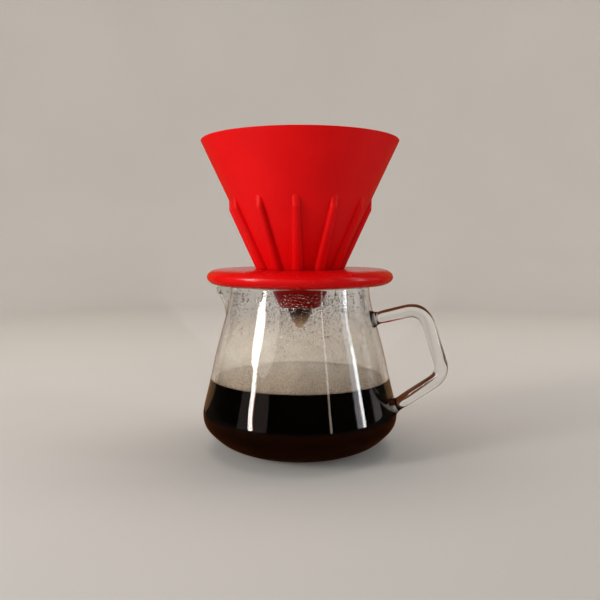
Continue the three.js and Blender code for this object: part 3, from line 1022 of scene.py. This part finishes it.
def loose_grains():
    """Single grains on the bed, and a thinning band of them left clinging to the paper above it."""
    rng = random.Random(3)
    shape, shape_faces = grain_shape()
    verts, faces = [], []

    def add(centre, size):
        turn = np.linalg.qr(np.array([[rng.gauss(0, 1) for _ in range(3)] for _ in range(3)]))[0]
        stretch = np.array([rng.uniform(0.6, 1.2) for _ in range(3)])
        jitter = np.array([[rng.uniform(0.8, 1.15)] for _ in range(len(shape))])
        points = (shape * jitter * stretch * size) @ turn.T + np.array(centre)
        add_copy(verts, faces, points, shape_faces)

    for _ in range(BED_GRAINS):
        r, angle = BED_RIM_R * math.sqrt(rng.random()) * 0.97, rng.uniform(0, 2 * math.pi)
        x, y = r * math.cos(angle), r * math.sin(angle)
        size = rng.uniform(0.25, 0.62)
        add((x, y, bed_height(x, y) + size * 0.35), size)
    for _ in range(PAPER_GRAINS):
        angle = rng.uniform(0, 2 * math.pi)
        reach = 9 + 5 * uneven(math.cos(angle) * 2, math.sin(angle) * 2, 5.0)
        z = BED_TOP_Z - 1 + rng.random() ** 1.7 * reach
        size = rng.uniform(0.2, 0.5)
        r = paper_bore(z) - size * 0.3
        add((r * math.cos(angle), r * math.sin(angle), z), size)
    return make_piece("loose_grains", verts, faces, GROUNDS, smooth_shade=False)


def hanging_drop():
    """Coffee gathering under the paper's tip."""
    theta = even_angles(36)
    top = PAPER_LOW[2] + 1.5
    rings = []
    for a in np.linspace(8, 172, 22):
        turn = math.radians(a)
        r = 2.15 * math.sin(turn) * (1 + 0.25 * math.cos(turn - math.pi))
        z = top - 1.4 + 2.3 * math.cos(turn) * (1.0 if a < 90 else 0.85)
        rings.append(ring(r, z, theta))
    return skinned("hanging_drop", rings, AMBER)


# ---- stage, light and camera ------------------------------------------------------------------
def studio():
    """A round pale floor that sweeps up into a wall on every side."""
    theta = even_angles(128)
    flat, sweep, wall = 900.0, 700.0, 2300.0
    drop = 0.15       # the floor lies this far below the object
    profile = [(r, 0.0) for r in (60, 150, 300, 500, 700, flat)]
    for turn in np.radians(np.linspace(-90, 0, 25)[1:]):
        profile.append((flat + sweep * math.cos(turn), sweep + sweep * math.sin(turn)))
    profile.append((flat + sweep, wall))
    rings = [ring(r, z - drop, theta) for r, z in profile]
    verts, faces = skin(rings, caps=False)
    verts.append((0.0, 0.0, -drop))
    faces += [(i, (i + 1) % len(theta), len(verts) - 1) for i in range(len(theta))]
    floor = make_piece("studio_floor", verts, faces, FLOOR)
    floor.data.flip_normals()


def card(name, verts, faces, material, seen_by):
    """A studio card that only the named kinds of ray meet; the camera never sees it directly."""
    piece = make_piece(name, verts, faces, material)
    piece.visible_camera = False
    piece.visible_shadow = False
    piece.visible_volume_scatter = False
    piece.visible_diffuse = False
    piece.visible_glossy = "glossy" in seen_by
    piece.visible_transmission = "transmission" in seen_by


CARD_R = 1300.0
FLOOR_CARD = [(36.0, 0.3), (900.0, 0.6), (1000.0, 10.0), (1100.0, 33.0), (1200.0, 71.0), (1298.0, 130.0)]


def arc_card(name, start, end, profile, material, seen_by):
    """A card swept between two angles to the right of the camera's view, through radii and heights."""
    spread = np.radians(np.linspace(start, end, 64) + CAMERA_AZIMUTH)
    verts = [(r * math.sin(a), -r * math.cos(a), z) for r, z in profile for a in spread]
    count = len(spread)
    faces = []
    for k in range(len(profile) - 1):
        a, b = k * count, (k + 1) * count
        faces += [(a + i, a + i + 1, b + i + 1, b + i) for i in range(count - 1)]
    card(name, verts, faces, material, seen_by)


def cards():
    """Dark cloth round the camera's side and over the floor, so that the gloss reflects a dark room
    and not a pale one; tan cards further round warm the edges of the glass."""
    wall = [(CARD_R, 0.0), (CARD_R, 1900.0)]
    arc_card("curtain_behind_camera", -128, 128, wall, CURTAIN, ("glossy", "transmission"))
    arc_card("dark_card_on_floor", -128, 128, FLOOR_CARD, CURTAIN, ("glossy", "transmission"))
    near = [(36.0, 0.35), (165.0, 0.35)]
    arc_card("brown_card_on_floor", -180, 180, near, BROWN, ("glossy", "transmission"))
    tall = FLOOR_CARD + [(CARD_R, 1500.0)]
    arc_card("tan_card_left", -164, -128, tall, TAN, ("glossy",))
    arc_card("tan_card_right", 128, 164, tall, TAN, ("glossy",))


def window(name, azimuth, distance, low, high, width, watts, colour, seen=True):
    """An area light facing the object, at an angle to the right of the camera's view. One that the
    glass shows stands upright, and the others tilt towards the object."""
    data = bpy.data.lights.new(name, "AREA")
    data.shape = "RECTANGLE"
    data.size = width * MM
    data.size_y = (high - low) * MM
    data.energy = watts
    data.color = colour
    lamp = bpy.data.objects.new(name, data)
    bpy.context.scene.collection.objects.link(lamp)
    a = math.radians(CAMERA_AZIMUTH + azimuth)
    place = Vector((math.sin(a), -math.cos(a), 0)) * distance * MM
    place.z = (low + high) / 2 * MM
    lamp.location = place
    aim = Vector((0, 0, place.z if seen else 0.1))
    lamp.rotation_euler = (aim - place).to_track_quat("-Z", "Y").to_euler()
    lamp.visible_camera = False
    lamp.visible_glossy = seen
    lamp.visible_transmission = seen
    return lamp


def outward_light(name, azimuth, distance, aim_distance, span, width, watts):
    """An unseen light that faces away from the object, down on to the studio's wall."""
    lamp = window(name, azimuth, distance, *span, width, watts, (1.0, 0.92, 0.84), seen=False)
    aim = Vector(lamp.location) * aim_distance / distance
    aim.z = 0.2
    lamp.rotation_euler = (aim - lamp.location).to_track_quat("-Z", "Y").to_euler()


def lights():
    """Each window's numbers are its angle, distance, lower and upper edge, width and power."""
    low_pane = window("window_left_low", -58.2, 800, 0, 330, 72, 1.2, (1.0, 0.98, 0.95))
    low_pane.rotation_euler.rotate_axis("Z", 0.27)
    pane = window("window_left_high", -62, 800, 200, 580, 210, 3.2, (1.0, 0.98, 0.95))
    pane.data.shape = "ELLIPSE"
    window("window_right_low", 76, 800, 0, 260, 54, 0.53, (0.90, 0.96, 1.0))
    window("window_right_high", 76, 800, 260, 760, 30, 0.38, (0.90, 0.96, 1.0))
    window("pale_sky_right", 71, 820, 0, 1100, 140, 0.9, (0.72, 0.85, 1.0))
    window("pale_wall_left_low", -55, 820, 0, 250, 540, 0.09, (1.0, 0.92, 0.88))
    glow_left = window("pale_wall_left_high", -50, 820, 200, 680, 540, 0.75, (1.0, 0.95, 0.90))
    glow_left.data.shape = "ELLIPSE"
    window("pale_wall_right_low", 100, 820, 0, 250, 200, 0.08, (0.94, 0.95, 1.0))
    window("door_gap", 34, 800, 0, 1100, 28, 0.28, (1.0, 0.93, 0.85))
    window("soft_key", -76, 900, 200, 1100, 700, 2.1, (1.0, 0.97, 0.93), seen=False)
    window("soft_front", -14, 950, 60, 420, 700, 2.35, (1.0, 0.96, 0.91), seen=False)
    window("soft_fill", 105, 900, 200, 1000, 400, 1.5, (1.0, 0.97, 0.94), seen=False)
    outward_light("backdrop_glow", 180, 250, 1250, (700, 1500), 900, 12.0)
    for k, azimuth in enumerate((-120, -60, 0, 60, 120)):
        outward_light(f"wall_glow_{k}", azimuth, 700, 1500, (500, 1100), 600, 2.2)
    world = bpy.data.worlds.new("studio_air")
    world.use_nodes = True
    air = world.node_tree.nodes["Background"]
    air.inputs["Color"].default_value = (1.0, 0.985, 0.965, 1.0)
    air.inputs["Strength"].default_value = 0.05
    bpy.context.scene.world = world


def camera():
    data = bpy.data.cameras.new("camera")
    data.sensor_width = 36.0
    data.lens = CAMERA_LENS
    data.clip_start = 0.01
    eye = bpy.data.objects.new("camera", data)
    bpy.context.scene.collection.objects.link(eye)
    a, tilt = math.radians(CAMERA_AZIMUTH), math.radians(CAMERA_TILT)
    eye.location = Vector((math.sin(a), -math.cos(a), 0)) * CAMERA_DISTANCE * MM
    eye.location.z = CAMERA_Z * MM
    eye.rotation_euler = (math.pi / 2 - tilt, 0, a)
    bpy.context.scene.camera = eye


# ---- assembly ---------------------------------------------------------------------------------
def add_piece(piece, body, node=None):
    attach(piece, body)
    if node:
        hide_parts(node)


camera()
lights()
studio()
cards()

add_piece(server_glass(), "server", "server_body")
add_piece(handle_glass(), "server", "server_handle")
add_piece(coffee_body(), "server", "brewed_coffee")
add_piece(edge_bubbles(), "server")
add_piece(condensation_mist(), "server")
add_piece(condensation_drops(), "server")
add_piece(base_disc(), "plate", "base_plate")
add_piece(ribbed_cone(), "cone", "dripper_cone")
add_piece(paper_cone(), "filter", "paper_filter")
add_piece(paper_seam(), "filter")
add_piece(grounds_bed(), "filter", "coffee_grounds")
add_piece(loose_grains(), "filter")
add_piece(hanging_drop(), "filter")

scene = bpy.context.scene
scene.view_settings.view_transform = "Standard"
scene.view_settings.look = "None"
